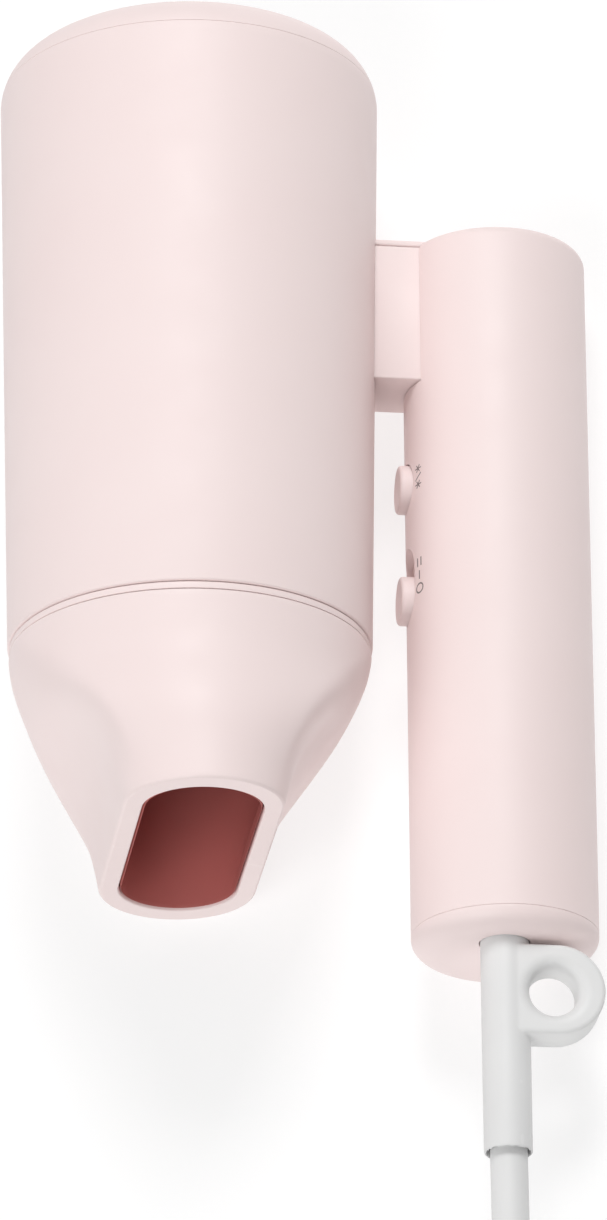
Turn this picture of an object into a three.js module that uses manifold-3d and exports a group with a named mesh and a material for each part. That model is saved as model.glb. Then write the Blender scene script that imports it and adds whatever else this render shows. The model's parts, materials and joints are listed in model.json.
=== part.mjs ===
// Folding hair dryer, folded, lying on its side. Millimetres, +Z up.
// The dryer is drawn in its own frame: Y is the barrel's axis with the nozzle at -Y,
// X points from the barrel to the handle, Z is the direction of the hinge pin.
// The whole dryer is then rolled about Y until barrel and handle both touch the ground.
import * as THREE from 'three';
import { mergeVertices } from 'three/addons/utils/BufferGeometryUtils.js';
import Module from 'manifold-3d';

const wasm = await Module();
wasm.setup();

// ---- Driving dimensions ------------------------------------------------------------------
const GAP = 0.3;
const RUNNING_GAP = 0.06;

const BARREL = { front: 31.4, rear: 33.25, length: 111.5, wall: 1.8, rearRound: 8.5, frontRound: 1.3 };
BARREL.roundStart = BARREL.length - BARREL.rearRound;
const CAP_SEAM_ANGLE = 11;
const CAP_JOINT_ANGLE = 13;
const INTAKE_RADIUS = 21.8;
const MOUTH_RADIUS = 28.9;
const MOUTH_DEPTH = 4;

const NOZZLE = { back: -1.5, front: -36.7, collar: 31.2, halfWidth: 13.5, halfLength: 33.6 };
const SLOT = { halfWidth: 9.8, halfLength: 28.5, wall: 1.0 };
const SHELL_WALL = 1.8;

const HANDLE = { radius: 16.05, wall: 2.0, offset: 53.85, top: 76.8, seam: -50.3, bottom: -54.1 };
HANDLE.topRound = 2.14;
HANDLE.bottomRound = 3.4;
HANDLE.bore = HANDLE.radius - HANDLE.wall;

const HINGE = { y: 63.35, armHalf: 7.28, armReach: 13.35, pin: 2.5, coverThickness: 1.0 };
const FORK = { inner: 7.6, outer: 10.4, bottom: 39, base: 49.4, top: 74.4, radius: 13.7 };
const FORK_SLOT = HINGE.armReach + GAP;

const KNOB = { radius: 4.3, face: 17.57, floor: 14.35, pocket: 4.65, powerY: 11.0, coolY: 32.0, travel: 4.9 };

const RELIEF = { x: -1.2, z: 6.9, radius: 4.15, tip: 4.1, bore: 3.5, end: -93.1, hole: 4.4, collar: 5 };
const LOOP = { x: 7.3, y: -63.25, halfWidth: 8.1, halfHeight: 8, half: 3.9 };
const EYE = { x: 6.7, y: -63.6, radius: 3.9 };
const CORD = { radius: 3.2, sides: 10 };

const COIL = { x: -14.5, y: -222, inner: 25.2, outer: 51.6, base: 1.1, height: 12.4 };
const TIE = { thickness: 0.8, width: 12 };
const PLUG = { halfWidth: 18, halfHeight: 12.5, length: 34, neck: 20, neckRadius: 5.4, mouthRadius: 4.4 };
const PINS = { radius: 2.4, length: 19, spacing: 19, depth: 6 };

// ---- Finishes ----------------------------------------------------------------------------
const FINISH = {
  pink: { color: 0xf0d6d4, roughness: 0.55, metalness: 0 },
  maroon: { color: 0x7d3a38, roughness: 0.5, metalness: 0 },
  grey: { color: 0xd9d9d8, roughness: 0.6, metalness: 0 },
  black: { color: 0x2b2b2d, roughness: 0.6, metalness: 0 },
  cream: { color: 0xe8e4da, roughness: 0.6, metalness: 0 },
  mica: { color: 0xb9a98a, roughness: 0.7, metalness: 0 },
  steel: { color: 0xb8bcc0, roughness: 0.35, metalness: 1 },
  wire: { color: 0xa07a5a, roughness: 0.4, metalness: 1 },
  rubber: { color: 0x3a3a3c, roughness: 0.8, metalness: 0 },
  board: { color: 0x3c6b4a, roughness: 0.6, metalness: 0 },
  brass: { color: 0xc9a55a, roughness: 0.3, metalness: 1 },
};

// ---- Shapes ------------------------------------------------------------------------------
// Points on an arc in a turned outline, as [radius, height] pairs. Angles are in degrees.
function arc(centreR, centreY, radius, from, to, steps = 6) {
  return Array.from({ length: steps + 1 }, (_, k) => {
    const angle = THREE.MathUtils.degToRad(from + ((to - from) * k) / steps);
    return [centreR + radius * Math.cos(angle), centreY + radius * Math.sin(angle)];
  });
}

// A body turned about Y. The outline closes on itself, or starts and ends on the axis.
function turned(outline, segments = 40) {
  const points = [...outline];
  let area = 0;
  points.forEach(([r, y], k) => {
    const [nextR, nextY] = points[(k + 1) % points.length];
    area += r * nextY - nextR * y;
  });
  if (area < 0) points.reverse();
  if (points[0][0] !== 0) points.push(points[0]);
  return new THREE.LatheGeometry(points.map(([r, y]) => new THREE.Vector2(r, y)), segments);
}

function tube(inner, outer, from, to, segments = 40) {
  return turned([[inner, from], [outer, from], [outer, to], [inner, to]], segments);
}

const TURN_TO = {
  x: (shape) => shape.rotateZ(-Math.PI / 2),
  y: (shape) => shape,
  z: (shape) => shape.rotateX(Math.PI / 2),
};

function rod(axis, radius, from, to, segments = 24) {
  const shape = new THREE.CylinderGeometry(radius, radius, to - from, segments);
  return TURN_TO[axis](shape.translate(0, (from + to) / 2, 0));
}

function box([x0, x1], [y0, y1], [z0, z1]) {
  const shape = new THREE.BoxGeometry(x1 - x0, y1 - y0, z1 - z0);
  return shape.translate((x0 + x1) / 2, (y0 + y1) / 2, (z0 + z1) / 2);
}

function solid(shape) {
  if (!shape.isBufferGeometry) return shape;
  const bare = shape.clone();
  bare.deleteAttribute('normal');
  bare.deleteAttribute('uv');
  const merged = mergeVertices(bare, 1e-4);
  const corners = merged.index.array;
  const kept = [];
  for (let k = 0; k < corners.length; k += 3) {
    const [a, b, c] = [corners[k], corners[k + 1], corners[k + 2]];
    if (a !== b && b !== c && c !== a) kept.push(a, b, c);
  }
  const vertProperties = Float32Array.from(merged.attributes.position.array);
  return new wasm.Manifold(new wasm.Mesh({ numProp: 3, vertProperties, triVerts: Uint32Array.from(kept) }));
}

function join(first, ...others) {
  return others.reduce((sum, other) => sum.add(solid(other)), solid(first));
}

function cut(body, ...tools) {
  return tools.reduce((rest, tool) => rest.subtract(solid(tool)), solid(body));
}

function common(first, second) {
  return solid(first).intersect(solid(second));
}

function geometryOf(shape) {
  if (shape.isBufferGeometry) return shape;
  const mesh = shape.getMesh();
  const geometry = new THREE.BufferGeometry();
  geometry.setAttribute('position', new THREE.BufferAttribute(mesh.vertProperties, 3));
  geometry.setIndex(new THREE.BufferAttribute(mesh.triVerts, 1));
  geometry.computeVertexNormals();
  return geometry;
}

function piece(group, name, shape, finish) {
  const mesh = new THREE.Mesh(geometryOf(shape), new THREE.MeshStandardMaterial(finish));
  mesh.name = name;
  group.add(mesh);
  return mesh;
}

// A racetrack prism along X: two rods of the given radius, a travel apart in Y, and the box between.
function racetrack(radius, y0, y1, x0, x1) {
  const ends = [y0, y1].map((y) => rod('x', radius, x0, x1).translate(0, y, 0));
  return y1 === y0 ? solid(ends[0]) : join(...ends, box([x0, x1], [y0, y1], [-radius, radius]));
}

function wire(points, radius, sides = 6, steps = 16) {
  const path = new THREE.CatmullRomCurve3(points.map((p) => new THREE.Vector3(...p)));
  const corners = Array.from({ length: sides }, (_, k) => {
    const angle = (2 * Math.PI * k) / sides;
    return new THREE.Vector2(radius * Math.cos(angle), radius * Math.sin(angle));
  });
  return new THREE.ExtrudeGeometry(new THREE.Shape(corners), { steps, extrudePath: path });
}

// ---- Barrel ------------------------------------------------------------------------------
const barrel = new THREE.Group();

function outerRadiusAt(y) {
  return BARREL.front + ((BARREL.rear - BARREL.front) * y) / BARREL.roundStart;
}

function makeBarrelShell() {
  const rearEdge = arc(BARREL.rear - BARREL.rearRound, BARREL.roundStart, BARREL.rearRound, 0, CAP_SEAM_ANGLE, 2);
  const [, shellEnd] = rearEdge.at(-1);
  const frontEdge = arc(BARREL.front - BARREL.frontRound, BARREL.frontRound, BARREL.frontRound, -90, 0, 4);
  const innerFront = outerRadiusAt(MOUTH_DEPTH) - BARREL.wall;
  const innerRear = BARREL.rear - BARREL.wall;
  const outline = [[MOUTH_RADIUS, 0], ...frontEdge, ...rearEdge,
    [innerRear, shellEnd], [innerFront, MOUTH_DEPTH], [MOUTH_RADIUS, MOUTH_DEPTH]];
  const armSpan = [HINGE.y - HINGE.armReach - GAP, HINGE.y + HINGE.armReach + GAP];
  const halfWindow = HINGE.armHalf + GAP;
  const window = box([25, 40], armSpan, [-halfWindow, halfWindow]);
  return cut(turned(outline), window);
}

function makeRearCap() {
  const centre = BARREL.rear - BARREL.rearRound;
  const outer = arc(centre, BARREL.roundStart, BARREL.rearRound, CAP_JOINT_ANGLE, 90, 7);
  const seamY = outer[0][1];
  const spigot = { outer: 30.7, inner: 29.2, front: 98 };
  const innerRound = BARREL.rearRound - 2;
  const innerEnd = THREE.MathUtils.radToDeg(Math.acos((spigot.inner - centre) / innerRound));
  const inner = arc(centre, BARREL.roundStart, innerRound, 90, innerEnd, 3);
  const ledge = { radius: 23.5, y: 107.5 };
  return turned([
    [spigot.inner, spigot.front], [spigot.outer, spigot.front], [spigot.outer, seamY], ...outer,
    [INTAKE_RADIUS, BARREL.length], [INTAKE_RADIUS, ledge.y], [ledge.radius, ledge.y],
    [ledge.radius, inner[0][1]], ...inner,
  ]);
}

function makeIntakeGrille() {
  const face = { y0: 107.8, y1: 110.0, radius: INTAKE_RADIUS - GAP };
  const flange = { y0: 105.3, y1: 107.2, radius: 23.2 };
  const disc = turned([[0, face.y0], [19.8, face.y0], [19.8, flange.y0], [flange.radius, flange.y0],
    [flange.radius, flange.y1], [face.radius, flange.y1], [face.radius, face.y1], [0, face.y1]]);
  const slots = [5.2, 9.2, 13.2, 17.2].map((radius) => tube(radius - 1.2, radius + 1.2, 106, 112, 20));
  const spokes = [0, 1, 2].map((k) => box([-19, 19], [face.y0, face.y1], [-0.8, 0.8])
    .rotateY((k * Math.PI) / 3));
  return join(cut(disc, ...slots), ...spokes);
}

piece(barrel, 'barrel_shell', makeBarrelShell(), FINISH.pink);
piece(barrel, 'rear_cap', makeRearCap(), FINISH.pink);
piece(barrel, 'intake_grille', makeIntakeGrille(), FINISH.pink);
piece(barrel, 'dust_mesh', rod('y', 28.8, 104.0, 104.6, 32), FINISH.steel);
piece(barrel, 'air_duct', turned([[24.2, 8], [29.3, 8], [29.3, 9.5], [25.2, 9.5], [25.2, 98], [24.2, 98]]),
  FINISH.black);
piece(barrel, 'heat_shield', tube(22.9, 23.5, 10, 58, 32), FINISH.mica);

// Outlet grille: rings and spokes held in the front of the duct.
function makeOutletGrille() {
  const disc = rod('y', 24.6, 5.6, 7.6, 40);
  const slots = [5, 10, 15, 20].map((radius) => tube(radius - 2, radius + 1.8, 5, 8.2, 20));
  const spokes = [0, 1].map((k) => box([-23, 23], [5.6, 7.6], [-0.7, 0.7]).rotateY((k * Math.PI) / 2));
  return join(cut(disc, ...slots), ...spokes);
}
piece(barrel, 'outlet_grille', makeOutletGrille(), FINISH.black);

// Heater: crossed mica boards with rings of resistance wire held outside their edges.
const HEATER = { from: 14, to: 52, half: 17, coilRadius: 18.2, coilWire: 0.8, coils: 5 };
const boards = [0, 1].map((k) => box([-HEATER.half, HEATER.half], [HEATER.from, HEATER.to], [-0.5, 0.5])
  .rotateY((k * Math.PI) / 2));
piece(barrel, 'heater_boards', join(...boards), FINISH.mica);
for (let k = 0; k < HEATER.coils; k += 1) {
  const y = HEATER.from + 3 + (k * (HEATER.to - HEATER.from - 6)) / (HEATER.coils - 1);
  const ring = turned(arc(HEATER.coilRadius, y, HEATER.coilWire, 0, 288, 4), 20);
  piece(barrel, `heating_coil_${k + 1}`, ring, FINISH.wire);
}
piece(barrel, 'thermostat', box([3, 11], [24, 36], [0.9, 5]), FINISH.steel);
piece(barrel, 'thermal_fuse', rod('y', 1.6, 24, 35, 16).translate(-7, 0, 2.6), FINISH.cream);

// Motor in a rubber sleeve inside a vaned holder; the fan sits on its shaft.
const MOTOR = { radius: 11.5, sleeve: 12.6, from: 64, to: 86, shaft: 1.0 };
function makeMotorHolder() {
  const hub = tube(12.9, 14.2, 62, 84, 24);
  const rim = tube(22.4, 23.9, 62, 84, 32);
  const vanes = [0, 1, 2, 3, 4, 5, 6].map((k) => box([13.8, 22.8], [63, 83], [-0.6, 0.6])
    .rotateY((2 * Math.PI * k) / 7));
  const stop = tube(8, 13.4, 60.6, 62.6, 24);
  return join(hub, rim, stop, ...vanes);
}
piece(barrel, 'motor_holder', makeMotorHolder(), FINISH.black);
piece(barrel, 'motor_sleeve', tube(MOTOR.radius + GAP, MOTOR.sleeve, 66, 82, 24), FINISH.rubber);
piece(barrel, 'motor_can', tube(MOTOR.shaft + RUNNING_GAP, MOTOR.radius, MOTOR.from, MOTOR.to, 24), FINISH.steel);

// Hinge arm: root plate inside the barrel, flat arm through its wall, round knuckle in the fork.
function makeHingeArm() {
  const arm = { bottom: HINGE.y - HINGE.armReach, top: HINGE.y + HINGE.armReach - HINGE.coverThickness - 0.2 };
  const z = [-HINGE.armHalf, HINGE.armHalf];
  const root = common(box([26.2, 31], [45, 81.7], [-13, 13]), rod('y', 29.9, 40, 90, 40));
  const flat = box([28, HANDLE.offset], [arm.bottom, arm.top], z);
  const knuckle = rod('z', HINGE.armReach - 0.15, ...z, 32).translate(HANDLE.offset, HINGE.y, 0);
  const bore = rod('z', HINGE.pin + RUNNING_GAP, -20, 20, 32).translate(HANDLE.offset, HINGE.y, 0);
  const seatFace = HINGE.armHalf - 0.9;
  const washerSeats = [[seatFace, 12], [-12, -seatFace]].map(([from, to]) => rod('z', 6.9, from, to, 24)
    .translate(HANDLE.offset, HINGE.y, 0));
  const leadChannel = rod('x', 2, 20, 75, 16).translate(0, HINGE.y - 8.7, 0);
  const coverRelief = box([28, HANDLE.offset], [arm.top, arm.top + 3], z);
  const screwHoles = armScrewPlaces().map(([y, zz]) => rod('x', 1.6, 20, 35, 12).translate(0, y, zz));
  return cut(join(root, flat, knuckle), bore, ...washerSeats, leadChannel, coverRelief, ...screwHoles);
}

function armScrewPlaces() {
  return [[48, -9.5], [48, 9.5], [78.7, -9.5], [78.7, 9.5]];
}

function screw(axis, radius, headRadius, from, to, headLength) {
  return join(rod(axis, radius, from, to, 8), rod(axis, headRadius, from - headLength, from + 0.01, 10));
}

piece(barrel, 'hinge_arm', makeHingeArm(), FINISH.pink);
const coverTop = HINGE.y + HINGE.armReach;
piece(barrel, 'hinge_arm_cover',
  box([30.4, HANDLE.offset], [coverTop - HINGE.coverThickness, coverTop], [-HINGE.armHalf, HINGE.armHalf]),
  FINISH.pink);
armScrewPlaces().forEach(([y, z], k) => {
  const armScrew = solid(screw('x', 1.2, 2.2, 25.9, 28.4, 0.5)).translate([0, y, z]);
  piece(barrel, `arm_screw_${k + 1}`, armScrew, FINISH.steel);
});
const barrelLeadRoute = [[27.4, 44.3, 0], [27.5, 36, 1], [27.4, 22, 0], [27.2, 12, 0]];
piece(barrel, 'barrel_leads', wire(barrelLeadRoute, 0.7), FINISH.cream);

// ---- Fan ---------------------------------------------------------------------------------
const fan = new THREE.Group();
const FAN = { from: 88.5, to: 96, hub: 7.5, tip: 22.6, blades: 7 };
function makeFan() {
  const hub = turned([[MOTOR.shaft + GAP, FAN.from], [FAN.hub, FAN.from], [FAN.hub, 94],
    [5.5, FAN.to], [MOTOR.shaft + GAP, FAN.to]], 24);
  const blades = Array.from({ length: FAN.blades }, (_, k) => box([7, FAN.tip], [-3.4, 3.4], [-0.5, 0.5])
    .rotateX(THREE.MathUtils.degToRad(48)).translate(0, 91.6, 0).rotateY((2 * Math.PI * k) / FAN.blades));
  return join(hub, ...blades);
}
piece(fan, 'fan', makeFan(), FINISH.black);
piece(fan, 'motor_shaft', rod('y', MOTOR.shaft, 62.8, 97, 12), FINISH.steel);

// ---- Nozzle ------------------------------------------------------------------------------
// Share of the round back section that is left at a height: 1 at the back, 0 at the slot.
function roundness(y) {
  const along = THREE.MathUtils.clamp((NOZZLE.back - y) / (NOZZLE.back - NOZZLE.front), 0, 1);
  return (1 + Math.cos(Math.PI * Math.pow(along, 1.06))) / 2;
}

function nozzleSection(y, inset) {
  const share = roundness(y);
  return {
    y,
    width: THREE.MathUtils.lerp(NOZZLE.halfWidth, NOZZLE.collar, share) - inset,
    length: THREE.MathUtils.lerp(NOZZLE.halfLength, NOZZLE.collar, share) - inset,
  };
}

function slotSection(y, outset, backRadius) {
  const share = roundness(y);
  return {
    y,
    width: THREE.MathUtils.lerp(SLOT.halfWidth, backRadius, share) + outset,
    length: THREE.MathUtils.lerp(SLOT.halfLength, backRadius, share) + outset,
  };
}

// A closed skin through stadium sections: a lathe ring whose rows are moved to their sections.
function skin(sections, segments = 40) {
  const rows = [...sections, sections[0]];
  const half = Math.PI / segments;
  const ring = new THREE.LatheGeometry(rows.map((_, k) => new THREE.Vector2(1, k)), segments, half);
  const position = ring.attributes.position;
  for (let k = 0; k < position.count; k += 1) {
    const { y, width, length } = rows[k % rows.length];
    const angle = half + (2 * Math.PI * Math.floor(k / rows.length)) / segments;
    const straight = Math.sign(Math.cos(angle)) * (length - width);
    position.setXYZ(k, width * Math.sin(angle), y, width * Math.cos(angle) + straight);
  }
  return ring;
}

const stations = Array.from({ length: 8 }, (_, k) => NOZZLE.back - 0.8 - (k * 32.6) / 7);
function makeNozzleShell() {
  const rim = NOZZLE.front;
  return skin([
    nozzleSection(NOZZLE.back, SHELL_WALL + 1), nozzleSection(NOZZLE.back, 0.7),
    ...stations.map((y) => nozzleSection(y, 0)),
    { ...nozzleSection(rim, 0.5), y: rim + 0.9 }, { ...nozzleSection(rim, 1.6), y: rim },
    { y: rim, width: SLOT.halfWidth + 0.4, length: SLOT.halfLength + 0.4 },
    { y: rim + 1.2, width: SLOT.halfWidth + 0.4 + SLOT.wall, length: SLOT.halfLength + 0.4 + SLOT.wall },
    ...[...stations].reverse().slice(1).map((y) => nozzleSection(y, SHELL_WALL)),
  ].reverse());
}

const LINER_BACK = 25.0;
function makeNozzleLiner() {
  const front = NOZZLE.front + 0.3;
  const inner = stations.map((y) => slotSection(y, 0, LINER_BACK));
  const outer = stations.map((y) => slotSection(y, SLOT.wall, LINER_BACK));
  const round = (y, radius) => ({ y, width: radius, length: radius });
  return skin([
    round(3.5, LINER_BACK), ...inner, { ...slotSection(front, 0, LINER_BACK), y: front },
    { ...slotSection(front, 0.2, LINER_BACK), y: front },
    ...outer.reverse(), round(3.5, 26.2),
  ]);
}

const seat = new THREE.Group();
piece(seat, 'nozzle_seat_ring', turned([[26.5, -1.2], [30.4, -1.2], [30.4, -GAP], [28.6, -GAP], [28.6, 4.3],
  [29.2, 4.3], [29.2, 5.1], [26.5, 5.1]]), FINISH.pink);

const nozzle = new THREE.Group();
piece(nozzle, 'nozzle_shell', makeNozzleShell(), FINISH.pink);
piece(nozzle, 'nozzle_liner', makeNozzleLiner(), FINISH.maroon);

// ---- Handle ------------------------------------------------------------------------------
// Drawn about its own axis, with the heights of the barrel's frame.
const handle = new THREE.Group();
handle.position.x = HANDLE.offset;

const POWER_REST = KNOB.powerY;
const POWER_END = KNOB.powerY + KNOB.travel;

function makeHandleShell() {
  const { radius, bore, top, seam, topRound } = HANDLE;
  const body = turned([[bore, seam], [radius, seam], ...arc(radius - topRound, top - topRound, topRound, 0, 90, 4),
    [0, top], [0, top - HANDLE.wall], [bore, top - HANDLE.wall]]);
  const forkSlot = box([-20, FORK_SLOT], [HINGE.y - FORK_SLOT, top + 5], [-HINGE.armHalf - GAP, HINGE.armHalf + GAP]);
  const inside = rod('y', HANDLE.radius - 1, seam + 4, top - 4, 40);
  const bosses = [
    common(racetrack(6.2, POWER_REST, POWER_END, -15.5, -KNOB.floor + 1.7), inside),
    common(racetrack(6.2, KNOB.coolY, KNOB.coolY, -15.5, -KNOB.floor + 1.2), inside),
  ];
  const ribs = [-1, 1].map((side) => common(
    box([-0.9, 1.6], [-3, 38.4], side < 0 ? [-15, -9.5] : [9.5, 15]), inside));
  const tools = [
    racetrack(KNOB.pocket, POWER_REST, POWER_END, -25, -KNOB.floor),
    racetrack(1.9, POWER_REST, POWER_END, -25, -10),
    racetrack(KNOB.pocket, KNOB.coolY, KNOB.coolY, -25, -10),
    ...boardScrewPlaces().map(([y, z]) => rod('x', 1.0, -5, 1, 12).translate(0, y, z)),
  ];
  return cut(join(cut(body, forkSlot), ...bosses, ...ribs), ...tools);
}

function boardScrewPlaces() {
  return [[0, -11], [34, 11]];
}

piece(handle, 'handle_shell', makeHandleShell(), FINISH.pink);

function makeHandleCap() {
  const { radius, bottom, bottomRound, seam, bore } = HANDLE;
  const seat = seam - GAP;
  const outline = [[0, bottom], ...arc(radius - bottomRound, bottom + bottomRound, bottomRound, -90, 0, 5),
    [radius, seat], [bore - GAP, seat], [bore - GAP, seat + 6.5], [12.2, seat + 6.5], [12.2, bottom + 2.4],
    [0, bottom + 2.4]];
  const hole = rod('y', RELIEF.hole, bottom - 1, bottom + 4, 32).translate(RELIEF.x, 0, RELIEF.z);
  return cut(turned(outline), hole);
}
piece(handle, 'handle_cap', makeHandleCap(), FINISH.pink);

function makeHingeFork() {
  const round = rod('y', FORK.radius, FORK.bottom, FORK.top, 40);
  const cheeks = [[-FORK.outer, -FORK.inner], [FORK.inner, FORK.outer]].map((z) => common(
    box([-20, 20], [FORK.base - 1, FORK.top], z), round));
  const base = common(box([-20, 20], [FORK.bottom, FORK.base], [-20, 20]), round);
  const bore = rod('z', HINGE.pin + RUNNING_GAP, -20, 20, 32).translate(0, HINGE.y, 0);
  const leadHole = rod('y', 3, 30, 60, 16);
  return cut(join(base, ...cheeks), bore, leadHole);
}
piece(handle, 'hinge_fork', makeHingeFork(), FINISH.black);
piece(handle, 'hinge_pin', rod('z', HINGE.pin, -12, 12, 32).translate(0, HINGE.y, 0), FINISH.steel);

function ringZ(inner, outer, from, to) {
  return tube(inner, outer, from, to, 24).rotateX(Math.PI / 2).translate(0, HINGE.y, 0);
}
piece(handle, 'hinge_washer_upper', ringZ(HINGE.pin + RUNNING_GAP, 6.6, 6.5, 7.45), FINISH.brass);
piece(handle, 'hinge_washer_lower', ringZ(HINGE.pin + RUNNING_GAP, 6.6, -7.45, -6.5), FINISH.brass);
piece(handle, 'pin_clip_upper', ringZ(HINGE.pin + RUNNING_GAP, 4.4, 10.6, 11.2), FINISH.steel);
piece(handle, 'pin_clip_lower', ringZ(HINGE.pin + RUNNING_GAP, 4.4, -11.2, -10.6), FINISH.steel);

// Switch board on two ribs, with a slide switch and a push switch on its barrel side.
const BOARD = { back: -1.2, face: -2.8, half: 12.6, from: -3, to: 37.4 };
const boardHoles = boardScrewPlaces().map(([y, z]) => rod('x', 1.2, -5, 1, 12).translate(0, y, z));
const boardBlank = box([BOARD.face, BOARD.back], [BOARD.from, BOARD.to], [-BOARD.half, BOARD.half]);
piece(handle, 'switch_board', cut(boardBlank, ...boardHoles), FINISH.board);
boardScrewPlaces().forEach(([y, z], k) => {
  const boardScrew = solid(screw('x', 0.8, 1.9, BOARD.face - 0.2, 0.6, 1.2)).translate([0, y, z]);
  piece(handle, `board_screw_${k + 1}`, boardScrew, FINISH.steel);
});
piece(handle, 'power_switch', box([-10.2, BOARD.face - 0.2], [6, 21], [-5, 5]), FINISH.black);
piece(handle, 'cool_switch', box([-9.2, BOARD.face - 0.2], [27.6, 36.4], [-4.4, 4.4]), FINISH.black);
const handleLeadRoute = [[2, 36, 3], [3, 26, 4], [4, 6, 4], [3, -14, 4], [0.5, -27, 6], [-0.9, -34, 6.7]];
piece(handle, 'handle_leads', wire(handleLeadRoute, 0.9), FINISH.cream);

// Cord clamp, and the cord's tail inside the handle and the strain relief.
function makeCordClamp() {
  const plate = common(box([-13, 13], [-46, -37], [1.6, 11.4]), rod('y', 11.6, -60, -30, 32));
  const passage = rod('y', CORD.radius + 0.3, -60, -30, 16).translate(RELIEF.x, 0, RELIEF.z);
  const screwHoles = [-7.6, 7.0].map((x) => rod('z', 1.1, 0, 9, 12).translate(x, -41.5, 0));
  return cut(plate, passage, ...screwHoles);
}
piece(handle, 'cord_clamp', makeCordClamp(), FINISH.black);
[-7.6, 7.0].forEach((x, k) => {
  const clampScrew = solid(screw('z', 0.8, 1.8, 1.3, 8, 1.2)).translate([x, -41.5, 0]);
  piece(handle, `clamp_screw_${k + 1}`, clampScrew, FINISH.steel);
});
piece(handle, 'cord_tail', rod('y', CORD.radius, RELIEF.end + 4, -35, 16).translate(RELIEF.x, 0, RELIEF.z),
  FINISH.grey);

// Strain relief: a collar held inside the cap, a slim sleeve and a flat hang loop on its side.
function makeStrainRelief() {
  const { bottom } = HANDLE;
  const sleeve = turned([
    [RELIEF.bore, RELIEF.end], [RELIEF.tip - 0.4, RELIEF.end], [RELIEF.tip, RELIEF.end + 0.6],
    [RELIEF.radius, LOOP.y - 4], [RELIEF.radius, bottom + 2.7], [RELIEF.collar, bottom + 2.7],
    [RELIEF.collar, bottom + 4.4], [RELIEF.bore, bottom + 4.4]], 24).translate(RELIEF.x, 0, RELIEF.z);
  const round = new THREE.EllipseCurve(LOOP.x, LOOP.y, LOOP.halfWidth, LOOP.halfHeight, -Math.PI / 2, Math.PI / 2);
  const outline = new THREE.Shape([
    new THREE.Vector2(RELIEF.x, LOOP.y + LOOP.halfHeight),
    new THREE.Vector2(RELIEF.x, LOOP.y - LOOP.halfHeight),
    ...round.getPoints(16),
  ]);
  const flat = new THREE.ExtrudeGeometry(outline, { depth: 2 * LOOP.half, bevelEnabled: false });
  flat.translate(0, 0, RELIEF.z - LOOP.half);
  const eye = rod('z', EYE.radius, 0, 20, 24).translate(EYE.x, EYE.y, 0);
  const bore = rod('y', RELIEF.bore, RELIEF.end - 1, bottom + 6, 24).translate(RELIEF.x, 0, RELIEF.z);
  return cut(join(sleeve, flat), eye, bore);
}
piece(handle, 'strain_relief', makeStrainRelief(), FINISH.grey);

// ---- Knobs -------------------------------------------------------------------------------
// Both are round caps on a stem, drawn along the outward direction, then turned to face the barrel.
function knobCap(y, stemEnd, plateRadius, plateFrom, plateTo) {
  const { radius, face, floor } = KNOB;
  const cap = turned([[0, face], [radius - 0.7, face], [radius - 0.2, face - 0.2], [radius, face - 0.7],
    [radius, floor + 0.25], [1.6, floor + 0.25], [1.6, plateTo], [plateRadius, plateTo],
    [plateRadius, plateFrom], [1.2, plateFrom], [1.2, stemEnd], [0, stemEnd]], 32);
  return cap.rotateZ(Math.PI / 2).translate(0, y, 0);
}
const powerKnob = new THREE.Group();
powerKnob.position.x = HANDLE.offset;
piece(powerKnob, 'power_knob', knobCap(KNOB.powerY, 10.45, 3.4, 11.3, 12.2), FINISH.pink);

const coolButton = new THREE.Group();
coolButton.position.x = HANDLE.offset;
function coolCap() {
  const { radius, face } = KNOB;
  const flange = 5.6;
  return turned([[0, face], [radius - 0.7, face], [radius - 0.2, face - 0.2], [radius, face - 0.7],
    [radius, 12.6], [flange, 12.6], [flange, 11.9], [1.5, 11.9], [1.5, 10.6], [0, 10.6]], 32)
    .rotateZ(Math.PI / 2).translate(0, KNOB.coolY, 0);
}
piece(coolButton, 'cool_button', coolCap(), FINISH.pink);

// ---- Whole dryer, rolled until barrel and handle both lie on the ground -------------------
const dryer = new THREE.Group();
dryer.add(barrel, fan, seat, nozzle, handle, powerKnob, coolButton);
const ROLL = Math.asin((BARREL.rear - HANDLE.radius) / HANDLE.offset);
dryer.rotation.y = ROLL;
dryer.updateMatrixWorld(true);
const bounds = new THREE.Box3().setFromObject(dryer, true);
dryer.position.set(-(bounds.min.x + bounds.max.x) / 2, -(bounds.min.y + bounds.max.y) / 2, -bounds.min.z);

// ---- Mains lead, on the ground in the frame of the finished part --------------------------
// The cord leaves the strain relief level, comes down to the ground and runs to the coil.
const LEAD_ROUTE = [
  [34.18, -98.7, 22.97], [34.18, -106, 22.9], [34.2, -114, 22.2], [34.3, -122, 20.5], [34.4, -130, 17.8],
  [34.5, -138, 14.5], [34.5, -146, 11.2], [34.4, -154, 8.4], [34.2, -162, 6.2], [34.0, -170, 4.9],
  [33.8, -178, 4.4], [33.8, -186, 4.3], [33.8, -196.6, 4.3],
];
const TAIL_ROUTE = [[-59.5, -191.2, 11.8], [-59.5, -188.6, 12.1], [-59.5, -186, 12.2]];
const lead = new THREE.Group();
piece(lead, 'power_cord', wire(LEAD_ROUTE, CORD.radius, CORD.sides, 16), FINISH.grey);
piece(lead, 'cord_end', wire(TAIL_ROUTE, CORD.radius, CORD.sides, 3), FINISH.grey);

const coilTop = COIL.base + COIL.height;
const coil = piece(lead, 'cord_coil', tube(COIL.inner, COIL.outer, COIL.base, coilTop).rotateX(Math.PI / 2),
  FINISH.grey);
coil.position.set(COIL.x, COIL.y, 0);

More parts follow.
